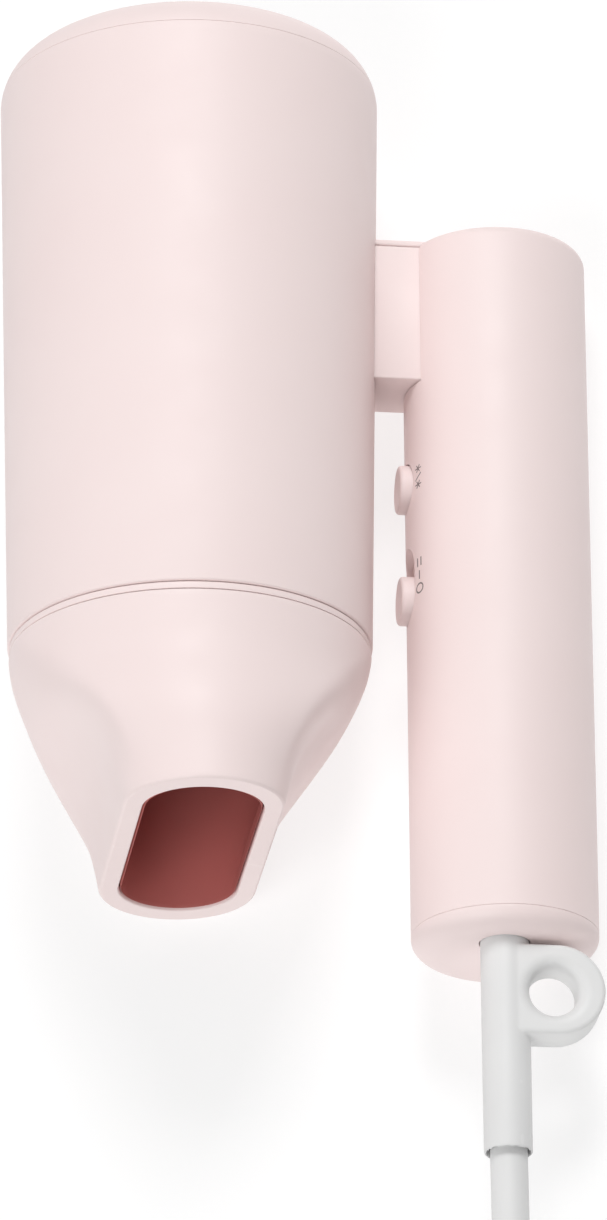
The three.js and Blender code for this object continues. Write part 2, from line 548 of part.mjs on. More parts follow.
function makeTie() {
  const room = GAP + TIE.thickness;
  const near = [-COIL.outer - room, -COIL.inner + room + 1];
  const outside = box([-TIE.width / 2, TIE.width / 2], near, [0, coilTop + room]);
  const inside = box([-20, 20], [near[0] + TIE.thickness, near[1] - TIE.thickness],
    [TIE.thickness, coilTop + GAP]);
  return cut(outside, inside);
}
const tie = piece(lead, 'coil_tie', makeTie(), FINISH.black);
tie.position.set(COIL.x, COIL.y, 0);

// Plug: drawn with its face towards +Y and its cord end at the origin.
function makePlugBody() {
  const { halfWidth, halfHeight, length, neck, neckRadius, mouthRadius } = PLUG;
  const corner = 8;
  const [x, z] = [halfWidth - corner, halfHeight - corner];
  const corners = [[x, z, 0], [-x, z, 90], [-x, -z, 180], [x, -z, 270]];
  const outline = new THREE.Shape(corners.flatMap(([cx, cz, start]) => (
    arc(cx, cz, corner, start, start + 90, 4).map(([px, pz]) => new THREE.Vector2(px, pz))
  )));
  const body = new THREE.ExtrudeGeometry(outline, { depth: length, bevelEnabled: false });
  body.rotateX(Math.PI / 2).translate(0, neck + length, 0);
  const sleeve = turned([[0, 0], [mouthRadius, 0], [neckRadius, neck], [neckRadius, neck + 1], [0, neck + 1]], 20);
  const face = neck + length;
  const holes = [-1, 1].map((side) => rod('y', PINS.radius + GAP, face - PINS.depth, face + 5, 20)
    .translate((side * PINS.spacing) / 2, 0, 0));
  return cut(join(body, sleeve), ...holes);
}
const plug = new THREE.Group();
plug.position.set(-59.5, -185.4, PLUG.halfHeight);
piece(plug, 'plug_body', makePlugBody(), FINISH.grey);
['left', 'right'].forEach((side, k) => {
  const root = PLUG.neck + PLUG.length - PINS.depth + GAP;
  const pin = rod('y', PINS.radius, root, PLUG.neck + PLUG.length + PINS.length, 20);
  piece(plug, `plug_pin_${side}`, pin.translate((k - 0.5) * PINS.spacing, 0, 0), FINISH.brass);
});
lead.add(plug);

const model = new THREE.Group();
model.add(dryer, lead);
export default model;
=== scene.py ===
"""Folding hair dryer, folded, lying on a pale floor.

The casings are drawn in millimetres in the dryer's own frame: Y is the barrel's axis and points to its
rear, X points to the handle, and Z is the fold's axis. DRYER and HANDLE put them in the row frame, in
metres. The mains lead, its plug and its tie are drawn in millimetres in the row frame."""
import json
import math

import bmesh
import bpy
from mathutils import Matrix, Vector


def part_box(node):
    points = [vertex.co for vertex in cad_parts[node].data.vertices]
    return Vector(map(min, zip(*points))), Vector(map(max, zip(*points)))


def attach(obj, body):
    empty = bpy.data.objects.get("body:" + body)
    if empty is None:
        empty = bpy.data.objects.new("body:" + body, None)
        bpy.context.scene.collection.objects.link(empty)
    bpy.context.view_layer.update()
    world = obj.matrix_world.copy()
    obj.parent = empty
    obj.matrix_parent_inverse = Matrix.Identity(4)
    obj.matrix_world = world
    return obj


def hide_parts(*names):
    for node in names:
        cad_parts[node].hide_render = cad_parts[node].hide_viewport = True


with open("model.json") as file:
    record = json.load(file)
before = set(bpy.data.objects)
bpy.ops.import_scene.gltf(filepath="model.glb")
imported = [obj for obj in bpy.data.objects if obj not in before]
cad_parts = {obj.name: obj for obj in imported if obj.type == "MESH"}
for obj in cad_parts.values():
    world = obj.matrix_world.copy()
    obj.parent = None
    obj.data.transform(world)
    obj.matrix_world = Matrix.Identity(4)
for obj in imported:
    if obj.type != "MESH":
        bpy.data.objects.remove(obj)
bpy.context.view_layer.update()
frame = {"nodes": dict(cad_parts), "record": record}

# ---- Frames ----------------------------------------------------------------------------------
MM = 0.001
BARREL_LENGTH, REAR_RADIUS = 111.5, 33.25
HANDLE_RADIUS, HANDLE_OFFSET = 16.05, 53.85
# The dryer is rolled until the barrel and the handle both lie on the floor.
ROLL = math.asin((REAR_RADIUS - HANDLE_RADIUS) / HANDLE_OFFSET)
cap_low, cap_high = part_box("rear_cap")
AXIS = Vector(((cap_low.x + cap_high.x) / 2, cap_high.y - BARREL_LENGTH * MM,
               (cap_low.z + cap_high.z) / 2))
TURNED = Matrix.Translation(AXIS) @ Matrix.Rotation(ROLL, 4, "Y")
DRYER = TURNED @ Matrix.Scale(MM, 4)
HANDLE = DRYER @ Matrix.Translation((HANDLE_OFFSET, 0, 0))
ROW = Matrix.Scale(MM, 4)

scene = bpy.context.scene
scene.view_settings.view_transform = "Standard"

# ---- Camera, placed in the dryer's frame -----------------------------------------------------
CAMERA_PLACE = Vector((-146.317, -533.499, 1264.144))
CAMERA_RIGHT = Vector((0.99187, -0.00751, 0.12705))
CAMERA_UP = Vector((-0.04286, 0.92024, 0.38900))
CAMERA_BACK = CAMERA_RIGHT.cross(CAMERA_UP).normalized()
camera_data = bpy.data.cameras.new("camera")
camera_data.lens = 237.0
camera_data.sensor_width = 36.0
camera_data.clip_start, camera_data.clip_end = 0.05, 20.0
camera = bpy.data.objects.new("camera", camera_data)
scene.collection.objects.link(camera)
look = Matrix((CAMERA_RIGHT, CAMERA_UP, CAMERA_BACK)).transposed().to_4x4()
camera.matrix_world = TURNED @ Matrix.Translation(CAMERA_PLACE * MM) @ look
scene.camera = camera

# ---- Materials -------------------------------------------------------------------------------
CLOUD_SCALE, GLOSS_SCALE, BUMP_STRENGTH = 38.0, 160.0, 0.35
GLOSS_SWING = 0.05  # how far the roughness goes up and down in its clouds
EDGE_FROM, EDGE_TO = 0.53, 0.62  # the pointiness where wear starts, and where it is full


def plastic(name, base, tone, roughness, grain=1800.0, grain_depth=0.00002, metallic=0.0, wear=0.25,
            sheen=0.0, specular=0.5):
    """A moulded or plain surface: two close tones in slow clouds, a fine grain, rubbed edges."""
    made = bpy.data.materials.new(name)
    made.use_nodes = True
    nodes, links = made.node_tree.nodes, made.node_tree.links
    shader = nodes["Principled BSDF"]
    shader.inputs["Metallic"].default_value = metallic
    shader.inputs["Specular IOR Level"].default_value = specular
    shader.inputs["Sheen Weight"].default_value = sheen
    place = nodes.new("ShaderNodeTexCoord")

    def noise(scale, detail):
        cloud = nodes.new("ShaderNodeTexNoise")
        cloud.inputs["Scale"].default_value = scale
        cloud.inputs["Detail"].default_value = detail
        links.new(place.outputs["Object"], cloud.inputs["Vector"])
        return cloud.outputs["Fac"]

    def spread(value, low, high, to_low, to_high):
        ranged = nodes.new("ShaderNodeMapRange")
        ends = {"From Min": low, "From Max": high, "To Min": to_low, "To Max": to_high}
        for socket, number in ends.items():
            ranged.inputs[socket].default_value = number
        links.new(value, ranged.inputs["Value"])
        return ranged.outputs["Result"]

    def mix(factor, first, second):
        blend = nodes.new("ShaderNodeMix")
        blend.data_type = "RGBA"
        links.new(factor, blend.inputs["Factor"])
        # A Mix node has a set of sockets for each data type: 6 and 7 are the colours A and B, and
        # output 2 is the colour result.
        for socket, colour in ((blend.inputs[6], first), (blend.inputs[7], second)):
            if isinstance(colour, tuple):
                socket.default_value = (*colour, 1)
            else:
                links.new(colour, socket)
        return blend.outputs[2]

    clouds = mix(spread(noise(CLOUD_SCALE, 3.0), 0.3, 0.7, 0.0, 1.0), base, tone)
    shape = nodes.new("ShaderNodeNewGeometry")
    edges = spread(shape.outputs["Pointiness"], EDGE_FROM, EDGE_TO, 0.0, wear)
    rubbed = tuple(min(1.0, 0.25 + 0.8 * channel) for channel in base)
    links.new(mix(edges, clouds, rubbed), shader.inputs["Base Color"])
    gloss = spread(noise(GLOSS_SCALE, 4.0), 0.3, 0.7, roughness - GLOSS_SWING,
                   roughness + GLOSS_SWING)
    links.new(gloss, shader.inputs["Roughness"])
    bump = nodes.new("ShaderNodeBump")
    bump.inputs["Strength"].default_value = BUMP_STRENGTH
    bump.inputs["Distance"].default_value = grain_depth
    links.new(noise(grain, 2.0), bump.inputs["Height"])
    links.new(bump.outputs["Normal"], shader.inputs["Normal"])
    return made


PINK = plastic("pink_moulding", (0.885, 0.755, 0.742), (0.875, 0.738, 0.725), 0.48, specular=0.33)
# Painted shade: the deep red of the nozzle's liner stands in for the shade and pink interreflection
# deep inside the outlet.
OUTLET_SHADE_RED = plastic("outlet_painted_shade", (0.56, 0.162, 0.147), (0.52, 0.150, 0.135), 0.40, grain=1200.0)
GREY = plastic("grey_soft_moulding", (0.77, 0.77, 0.766), (0.74, 0.74, 0.738), 0.52, grain=2400.0)
BLACK = plastic("black_moulding", (0.030, 0.030, 0.032), (0.040, 0.040, 0.042), 0.5)
STEEL = plastic("plain_steel", (0.60, 0.61, 0.62), (0.52, 0.53, 0.54), 0.32, metallic=1.0,
                grain=900.0)
NICKEL = plastic("nickel_plate", (0.74, 0.71, 0.66), (0.68, 0.65, 0.60), 0.24, metallic=1.0,
                 grain=900.0)
WIRE = plastic("heat_tinted_wire", (0.45, 0.34, 0.28), (0.34, 0.27, 0.27), 0.35, metallic=1.0)
CREAM = plastic("cream_insulation", (0.80, 0.77, 0.68), (0.76, 0.72, 0.62), 0.5)
MICA = plastic("mica_sheet", (0.50, 0.42, 0.30), (0.38, 0.30, 0.20), 0.45, grain=400.0,
               grain_depth=0.0001)
RUBBER = plastic("black_rubber", (0.040, 0.040, 0.042), (0.055, 0.055, 0.057), 0.75)
BOARD = plastic("coated_board", (0.070, 0.180, 0.100), (0.055, 0.150, 0.080), 0.35)
INK = plastic("grey_print", (0.20, 0.17, 0.17), (0.24, 0.20, 0.20), 0.6, wear=0.0)
FABRIC = plastic("woven_tape", (0.045, 0.045, 0.047), (0.070, 0.070, 0.072), 0.85, grain=1500.0,
                 grain_depth=0.0003, sheen=0.3)
SLOT_MATERIAL = {
    "pink_plastic": PINK, "maroon_plastic": OUTLET_SHADE_RED, "grey_soft_plastic": GREY,
    "black_plastic": BLACK, "steel": STEEL, "brass": NICKEL, "cream_plastic": CREAM, "mica": MICA,
    "resistance_wire": WIRE, "rubber": RUBBER, "board": BOARD,
}
for entry in frame["record"]["subparts"]:
    node_mesh = frame["nodes"][entry["node"]].data
    node_mesh.materials.clear()
    node_mesh.materials.append(SLOT_MATERIAL[entry["material_slot"]])


# ---- Outlines --------------------------------------------------------------------------------
def ease(u):
    """0 to 1 in a half cosine."""
    return (1 - math.cos(math.pi * min(max(u, 0.0), 1.0))) / 2


def turns(count):
    """Evenly spaced angles of one turn, in radians."""
    return [2 * math.pi * k / count for k in range(count)]


def arc(centre_r, centre_y, radius, start, end, steps):
    """Points (r, y) on an arc, with angles in degrees."""
    angles = [math.radians(start + (end - start) * k / steps) for k in range(steps + 1)]
    return [(centre_r + radius * math.cos(a), centre_y + radius * math.sin(a)) for a in angles]


def fillet(before, corner, after, radius, steps=6):
    """Points (r, y) of the arc that rounds a corner between its two neighbours."""
    here = Vector(corner)
    back = (Vector(before) - here).normalized()
    onward = (Vector(after) - here).normalized()
    half = back.angle(onward) / 2
    centre = here + (back + onward).normalized() * (radius / math.sin(half))
    start = here + back * (radius / math.tan(half)) - centre
    end = here + onward * (radius / math.tan(half)) - centre
    first = math.atan2(start.y, start.x)
    sweep = math.remainder(math.atan2(end.y, end.x) - first, 2 * math.pi)
    angles = [first + sweep * step / steps for step in range(steps + 1)]
    return [(centre.x + radius * math.cos(a), centre.y + radius * math.sin(a)) for a in angles]


def rounded(corners, steps=6):
    """A closed outline of corners (r, y), or (r, y, fillet radius) where they are rounded."""
    points = []
    for k, corner in enumerate(corners):
        if len(corner) == 2:
            points.append(tuple(Vector(corner)))
        else:
            after = corners[(k + 1) % len(corners)]
            points += fillet(corners[k - 1][:2], corner[:2], after[:2], corner[2], steps)
    return points


def rectangle(x0, x1, y0, y1):
    """The corners of a rectangle in XY."""
    return [(x0, y0), (x1, y0), (x1, y1), (x0, y1)]


def pressed_circle(half_a, half_b, shape_a, shape_b, count):
    """A closed outline between an ellipse, with both shapes at 1, and a rectangle, at 0."""
    return [(half_a * math.copysign(abs(math.cos(a)) ** shape_a, math.cos(a)),
             half_b * math.copysign(abs(math.sin(a)) ** shape_b, math.sin(a))) for a in turns(count)]


# ---- Shapes, as vertices and faces -----------------------------------------------------------
def grid(rings, closed=True):
    """Quads through rings of the same length; closed joins the last ring to the first."""
    count = len(rings[0])
    verts = [point for ring in rings for point in ring]
    faces = []
    for i in range(len(rings) if closed else len(rings) - 1):
        low, high = i * count, (i + 1) % len(rings) * count
        for k in range(count):
            after = (k + 1) % count
            faces.append((low + k, low + after, high + after, high + k))
    return verts, faces


def lathe(outline, segments=96, centre=(0.0, 0.0)):
    """A body turned about an axis along Y."""
    rings = [[(centre[0] + radius * math.sin(a), y, centre[1] + radius * math.cos(a))
              for a in turns(segments)] for radius, y in outline]
    return grid(rings, closed=outline[0][0] > 0 or outline[-1][0] > 0)


def prism(outline, low, high):
    """An outline in XY, extruded along Z."""
    count = len(outline)
    verts = [(x, y, z) for z in (low, high) for x, y in outline]
    sides = [(k, (k + 1) % count, count + (k + 1) % count, count + k) for k in range(count)]
    return verts, [tuple(range(count))[::-1], tuple(range(count, 2 * count)), *sides]


def prism_x(outline, low, high):
    """An outline in YZ, extruded along X."""
    verts, faces = prism(outline, low, high)
    return [(x, y, z) for y, z, x in verts], faces


# ---- Objects ---------------------------------------------------------------------------------
def new_object(name, verts, faces):
    """An object whose mesh is welded and faces outwards."""
    mesh = bpy.data.meshes.new(name)
    mesh.from_pydata([tuple(v) for v in verts], [], faces)
    work = bmesh.new()
    work.from_mesh(mesh)
    bmesh.ops.remove_doubles(work, verts=work.verts, dist=1e-5)
    bmesh.ops.dissolve_degenerate(work, edges=work.edges, dist=1e-6)
    bmesh.ops.recalc_face_normals(work, faces=work.faces)
    work.to_mesh(mesh)
    work.free()
    made = bpy.data.objects.new(name, mesh)
    scene.collection.objects.link(made)
    return made


def baked(target):
    """Applies the object's modifiers."""
    graph = bpy.context.evaluated_depsgraph_get()
    mesh = bpy.data.meshes.new_from_object(target.evaluated_get(graph))
    target.modifiers.clear()
    target.data = mesh
    return target


def combine(target, operation, *tools):
    """Cuts or joins tool shapes, given as (verts, faces), on the target."""
    for k, (verts, faces) in enumerate(tools):
        tool = new_object(f"tool_{k}", verts, faces)
        step = target.modifiers.new("step", "BOOLEAN")
        step.operation = operation
        step.solver = "EXACT"
        step.object = tool
        baked(target)
        bpy.data.objects.remove(tool)
    return target


def bevelled(target, width, segments=3, angle=40):
    """Rounds the edges that are sharper than the angle."""
    edge = target.modifiers.new("edge", "BEVEL")
    edge.width = width
    edge.segments = segments
    edge.limit_method = "ANGLE"
    edge.angle_limit = math.radians(angle)
    return baked(target)


def shown(target, body, material, stands_for=(), matrix=DRYER, sharp=32):
    """Puts a finished mesh in the row frame on its body, with its material and its shading."""
    target.data.transform(matrix)
    work = bmesh.new()
    work.from_mesh(target.data)
    bmesh.ops.recalc_face_normals(work, faces=work.faces)
    for face in work.faces:
        face.smooth = True
    for edge in work.edges:
        edge.smooth = len(edge.link_faces) != 2 or edge.calc_face_angle(0.0) < math.radians(sharp)
    work.to_mesh(target.data)
    work.free()
    target.data.materials.clear()
    target.data.materials.append(material)
    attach(target, body)
    if stands_for:
        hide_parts(*stands_for)
    return target


# ---- Mains lead ------------------------------------------------------------------------------
CORD_RADIUS = 3.2
MOUTH_Y, CORD_DROP = -101, 0.3  # the cord lies a little low in the sleeve's mouth
tail_low, tail_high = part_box("cord_tail")
EXIT_X = (tail_low.x + tail_high.x) / 2 / MM
EXIT_Z = (tail_low.z + tail_high.z) / 2 / MM
# From inside the sleeve down to the floor, and on to the coil's right side.
LEAD_ROUTE = [
    (EXIT_X, -97, EXIT_Z - CORD_DROP), (EXIT_X, -106, EXIT_Z - 0.75), (34.2, -114, 21.9),
    (34.3, -122, 20.5), (34.4, -130, 17.8), (34.5, -138, 14.5), (34.5, -146, 11.2),
    (34.4, -154, 8.4), (34.2, -162, 6.2), (34.0, -170, 4.9), (33.8, -178, 4.4), (33.8, -186, 4.3),
    (33.8, -196.6, 4.3), (33.8, -209, 4.3),
]
COIL_CENTRE = (-14.5, -222.0)
COIL_OUTER, COIL_PITCH, LAYER_LOW, LAYER_HIGH = 48.3, 6.6, 4.3, 10.3
# Angles of the coil, in degrees: where in a turn the cord shifts by one pitch, where it climbs to
# the upper layer, where it arches over the layer below, and where it ends.
SHIFT_IN, SHIFT_OUT, SHIFT_SPAN = 220, 140, 180
CLIMB_FROM, CLIMB_SPAN = 3 * 360 + 160, 140
HUMP, HUMP_FROM, HUMP_SPAN = 0.6, 140, 260
COIL_END = 6 * 360 + 180
LEAD_END = [(-59.5, -210, 10.7), (-59.5, -200, 11.6), (-59.5, -192, 12.2), (-59.5, -183, 12.5),
            (-59.5, -172, 12.5)]


def coil_point(t):
    """A point of the wound cord, t degrees clockwise from the coil's right side: four turns inward
    on the floor, one climb, then two and a half turns outward in the valleys between them."""
    inward = sum(ease((t - 360 * k - SHIFT_IN) / SHIFT_SPAN) for k in range(3))
    climb = ease((t - CLIMB_FROM) / CLIMB_SPAN)
    outward = sum(ease((t - 360 * k - SHIFT_OUT) / SHIFT_SPAN) for k in (4, 5))
    radius = COIL_OUTER - COIL_PITCH * (inward - climb / 2 - outward)
    height = LAYER_LOW + (LAYER_HIGH - LAYER_LOW) * climb
    if climb >= 1 and t % 360 > HUMP_FROM:
        height += HUMP * math.sin(math.pi * ((t % 360) - HUMP_FROM) / HUMP_SPAN) ** 2
    angle = math.radians(t)
    return (COIL_CENTRE[0] + radius * math.cos(angle), COIL_CENTRE[1] - radius * math.sin(angle),
            height)


lead_points = LEAD_ROUTE + [coil_point(t) for t in range(0, COIL_END + 1, 10)] + LEAD_END
lead_steps = zip(lead_points, lead_points[1:])
lead_length = sum((Vector(a) - Vector(b)).length for a, b in lead_steps) * MM
lead_curve = bpy.data.curves.new("mains_lead", "CURVE")
lead_curve.dimensions = "3D"
lead_curve.bevel_depth = CORD_RADIUS * MM
lead_curve.bevel_resolution = 8
lead_curve.use_fill_caps = True
lead_curve.resolution_u = 3
line = lead_curve.splines.new("BEZIER")
line.bezier_points.add(len(lead_points) - 1)
for knot, point in zip(line.bezier_points, lead_points):
    knot.co = Vector(point) * MM
    knot.handle_left_type = knot.handle_right_type = "AUTO"
lead = bpy.data.objects.new("mains_lead", lead_curve)
scene.collection.objects.link(lead)
lead_curve.materials.append(GREY)
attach(lead, "handle")
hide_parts("power_cord", "cord_end", "cord_coil")

# Plug, drawn with its face towards +Y and its cord end at the origin: a ribbed neck, a shoulder,
# a waisted body, and a face with a rounded edge.
PLUG_MATRIX = ROW @ Matrix.Translation((-59.5, -185.4, 12.5))
NECK_LENGTH, NECK_RADIUS, RIB_DEPTH, RIB_PITCH = 20.0, 5.4, 0.55, 3.8
SHOULDER, BODY_START, BODY_LENGTH, WAIST = 9.0, 29.0, 23.0, 0.7
BODY_X, BODY_Z, BODY_POWER = 17.0, 12.0, 3.6  # half sizes, and how square the section is
FACE_X, FACE_Z, FACE_Y, FACE_ROUND = 17.9, 12.4, 54.0, 2.0


def plug_ring(y, half_x, half_z, power=2):
    """A section of the plug: round with a power of 2, and squarer above it."""
    return [(x, y, z) for x, z in pressed_circle(half_x, half_z, 2 / power, 2 / power, 96)]


plug_rings = [plug_ring(0.0, 0.01, 0.01), plug_ring(0.0, 3.4, 3.4), plug_ring(0.0, 4.1, 4.1)]
for k in range(40):
    y = 0.4 + k * 0.48
    rib = RIB_DEPTH * max(0.0, math.sin(2 * math.pi * y / RIB_PITCH)) ** 2 if 1 < y < 18 else 0.0
    radius = NECK_RADIUS - 1 + y / NECK_LENGTH - rib
    plug_rings.append(plug_ring(y, radius, radius))
for k in range(1, 17):
    grown = ease(k / 16)
    plug_rings.append(plug_ring(NECK_LENGTH + SHOULDER * k / 16,
                                NECK_RADIUS + (BODY_X - NECK_RADIUS) * grown,
                                NECK_RADIUS + (BODY_Z - NECK_RADIUS) * grown,
                                2 + (BODY_POWER - 2) * grown))
for k in range(1, 9):
    waist = WAIST * math.sin(math.pi * k / 8)
    plug_rings.append(plug_ring(BODY_START + BODY_LENGTH * k / 8,
                                BODY_X + (FACE_X - BODY_X) * k / 8 - waist,
                                BODY_Z + (FACE_Z - BODY_Z) * k / 8 - waist, BODY_POWER))
for k in range(1, 6):
    a = math.radians(18 * k)
    inset = 1.8 * (1 - math.cos(a))
    plug_rings.append(plug_ring(FACE_Y - FACE_ROUND + FACE_ROUND * math.sin(a),
                                FACE_X - inset, FACE_Z - inset, BODY_POWER))
plug_rings.append(plug_ring(FACE_Y, 0.01, 0.01))
plug = shown(new_object("mains_plug", *grid(plug_rings, closed=False)), "handle",
             GREY, ["plug_body"], PLUG_MATRIX)

PIN_X, PIN_RADIUS, PIN_TIP, PIN_ROUND = 9.5, 2.4, 73.0, 1.9
pin_outline = [(0.0, 48.3), (PIN_RADIUS, 48.3), (PIN_RADIUS, 55.0), (PIN_RADIUS, 62.6), (2.3, 62.8),
               (2.3, 63.0), (PIN_RADIUS, 63.2)]
pin_outline += arc(PIN_RADIUS - PIN_ROUND, PIN_TIP - PIN_ROUND, PIN_ROUND, 0, 90, 8)
pin_outline += [(0.0, PIN_TIP)]
for side, x in (("left", -PIN_X), ("right", PIN_X)):
    pin = new_object(f"pin_{side}", *lathe(pin_outline, 48))
    shown(pin, "handle", NICKEL, [f"plug_pin_{side}"],
                      PLUG_MATRIX @ Matrix.Translation((x, 0, 0)))

# Tie: a band round the coil's section on its far side, drawn about the coil's centre.
TIE_LOW, TIE_HIGH = (-52.4, 0.35), (-24.6, 14.2)
tie_middle = [(low + high) / 2 for low, high in zip(TIE_LOW, TIE_HIGH)]
tie_half = [(high - low) / 2 for low, high in zip(TIE_LOW, TIE_HIGH)]
# Each ring's place across the band, and how far it is inside the outer face.
TIE_RINGS = [(-6.0, 0.1), (-5.8, 0.0), (0.0, -0.05), (5.8, 0.0), (6.0, 0.1), (6.0, 0.6), (0.0, 0.7),
             (-6.0, 0.6)]
tie_rings = []
for x, inset in TIE_RINGS:
    section = pressed_circle(tie_half[0] - inset, tie_half[1] - inset, 0.35, 0.5, 120)
    tie_rings.append([(x, tie_middle[0] + across, tie_middle[1] + up) for across, up in section])
tie = shown(new_object("tie_band", *grid(tie_rings)), "handle", FABRIC,
            ["coil_tie"], ROW @ Matrix.Translation((*COIL_CENTRE, 0)))

# ---- Barrel ----------------------------------------------------------------------------------
FRONT_RADIUS, FRONT_BORE, SKIRT_RADIUS = 31.4, 28.9, 31.45
SMOOTH_TURN = 192  # segments round the wide casings
ROUND = 8.5  # the rear edge; the seam between shell and cap lies on it
ROUND_R, ROUND_Y = REAR_RADIUS - ROUND, BARREL_LENGTH - ROUND
SEAM_LOW, SEAM_HIGH = 11.2, 11.9  # the seam's sides, in degrees on the rear edge
SLOT_HALF = 7.45  # half the width of the arm's window and slot

front = fillet((30.0, 50.0), (FRONT_BORE, 0.0), (FRONT_RADIUS, 0.0), 0.2)
front += fillet((FRONT_BORE, 0.0), (FRONT_RADIUS, 0.0), (REAR_RADIUS, ROUND_Y), 0.4)
taper = (REAR_RADIUS - FRONT_RADIUS) / ROUND_Y
side = [(FRONT_RADIUS + taper * y, y) for y in (20, 40, 60, 80, 95)]
edge = arc(ROUND_R, ROUND_Y, ROUND, 0, SEAM_LOW, 6)
seam_r, seam_y = edge[-1][0] - 0.06, edge[-1][1] + 0.04
barrel_outline = front + side + edge + [
    (seam_r, seam_y), (SKIRT_RADIUS, seam_y), (SKIRT_RADIUS, ROUND_Y), (29.67, 4.0),
    (FRONT_BORE, 4.0)]
barrel_skin = new_object("barrel_skin", *lathe(barrel_outline, SMOOTH_TURN))
window = prism(rectangle(25, 40, 49.7, 77.0), -SLOT_HALF, SLOT_HALF)
shown(combine(barrel_skin, "DIFFERENCE", window), "barrel", PINK, ["barrel_shell"])

cap_arc = arc(ROUND_R, ROUND_Y, ROUND, SEAM_HIGH, 90, 24)
cap_outline = [(29.2, 98.0), (30.7, 98.0), (30.7, cap_arc[0][1]),
               (cap_arc[0][0] - 0.06, cap_arc[0][1] - 0.02), *cap_arc]
cap_outline += rounded([(21.8, 111.5, 0.7), (21.8, 107.5), (23.5, 107.5), (23.5, 109.5)])
cap_outline += [(24.75, 109.5), (29.2, 105.5)]
shown(new_object("rear_cap_skin", *lathe(cap_outline, SMOOTH_TURN)), "barrel", PINK,
      ["rear_cap"])

# The plate is built near its place, and then moved until its highest point is at GRILLE_FACE.
GRILLE_RADIUS, GRILLE_DOME, PLATE_Y, GRILLE_FACE = 21.5, 0.9, 110.6, 110.8
GRILLE_HUB, GRILLE_RIM, CELL, RIB, SPOKE_HALF = 3.2, 18.5, 1.45, 0.95, 0.85


def intake_grille():
    """Rings and six spokes in one plate, slightly domed, cut as open cells of a polar grid."""
    radii = [0.6, 2.0, GRILLE_HUB]
    while radii[-1] < GRILLE_RIM:
        radii += [radii[-1] + CELL, radii[-1] + CELL + RIB]
    radii += [GRILLE_RADIUS]
    count = 240
    verts = [(r * math.sin(a), PLATE_Y - GRILLE_DOME * (r / GRILLE_RADIUS) ** 2, r * math.cos(a))
             for r in radii for a in turns(count)]
    faces = [tuple(range(count))]
    for i in range(len(radii) - 1):
        middle = (radii[i] + radii[i + 1]) / 2
        is_cell = GRILLE_HUB < middle < GRILLE_RIM and i % 2 == 0
        for k in range(count):
            off = math.remainder((k + 0.5) * 2 * math.pi / count, math.pi / 3)
            if not is_cell or abs(middle * math.sin(off)) < SPOKE_HALF:
                after = (k + 1) % count
                faces.append((i * count + k, i * count + after,
                              (i + 1) * count + after, (i + 1) * count + k))
    plate = new_object("intake_plate", verts, faces)
    work = bmesh.new()
    work.from_mesh(plate.data)
    bmesh.ops.delete(work, geom=[v for v in work.verts if not v.link_faces], context="VERTS")
    work.to_mesh(plate.data)
    work.free()
    thick = plate.modifiers.new("thick", "SOLIDIFY")
    thick.thickness = 2.0
    thick.offset = -1.0
    return bevelled(baked(plate), 0.18, segments=2, angle=60)


grille = intake_grille()
grille_top = max(v.co.y for v in grille.data.vertices)
grille.data.transform(Matrix.Translation((0, GRILLE_FACE - grille_top, 0)))
shown(grille, "barrel", PINK, ["intake_grille"])

# ---- Hinge arm -------------------------------------------------------------------------------
PIVOT_Y, ARM_REACH, ARM_HALF, ARM_ROOT = 63.35, 13.35, 7.28, 28.5
COVER_THICK, COVER_GAP = 1.02, 0.1
ARM_FRONT, ARM_REAR = PIVOT_Y - ARM_REACH, PIVOT_Y + ARM_REACH
knuckle = arc(HANDLE_OFFSET, PIVOT_Y, ARM_REACH - 0.15, -90, 66, 52)
arm_outline = [(ARM_ROOT, ARM_FRONT), *[(x, max(y, ARM_FRONT)) for x, y in knuckle],
               (HANDLE_OFFSET, ARM_REAR - COVER_THICK - COVER_GAP),
               (ARM_ROOT, ARM_REAR - COVER_THICK - COVER_GAP)]
arm = new_object("hinge_arm_skin", *prism(arm_outline, -ARM_HALF, ARM_HALF))
shown(bevelled(arm, 0.3, angle=50), "barrel", PINK, ["hinge_arm"])
cover_outline = rectangle(ARM_ROOT, HANDLE_OFFSET, ARM_REAR - COVER_THICK, ARM_REAR)
cover = new_object("hinge_cover_skin", *prism(cover_outline, -ARM_HALF, ARM_HALF))
shown(bevelled(cover, 0.22, angle=50), "barrel", PINK, ["hinge_arm_cover"])

# ---- Nozzle ----------------------------------------------------------------------------------
NOZZLE_BACK, NOZZLE_FRONT, RIM_ROUND = -1.5, -36.7, 0.8
RING_COUNT = 240
SMALL, FAR = 1e-6, 99.0  # stand in for 0 under a division, and for a side that is never met
SLOT_HALF_WIDTH, SLOT_HALF_LENGTH = 9.8, 28.5  # the liner's opening at the outlet
DUCT_RADIUS = 25.0


def stadium(y, half_width, half_length, flats=0.0, blend=0.0):
    """A section with its long side along Z. It is a stadium, or with flats at 1 a circle that two
    flat sides cut, with a blend of some millimetres where they meet."""
    straight = max(half_length - half_width, 0.0)
    ring = []
    for k in range(RING_COUNT):
        angle = 2 * math.pi * (k + 0.5) / RING_COUNT
        across, along = abs(math.cos(angle)), abs(math.sin(angle))
        side = half_width / max(across, SMALL)
        radius = side
        if side * along > straight:
            bow = max(half_width ** 2 - (straight * across) ** 2, 0.0)
            radius = straight * along + math.sqrt(bow)
        if flats:
            part = min(max(0.5 + 0.5 * (half_length - side) / max(blend, SMALL), 0.0), 1.0)
            cut = half_length + (min(side, FAR) - half_length) * part - blend * part * (1 - part)
            radius += (cut - radius) * flats
        ring.append((radius * math.cos(angle), y, radius * math.sin(angle)))
    return ring


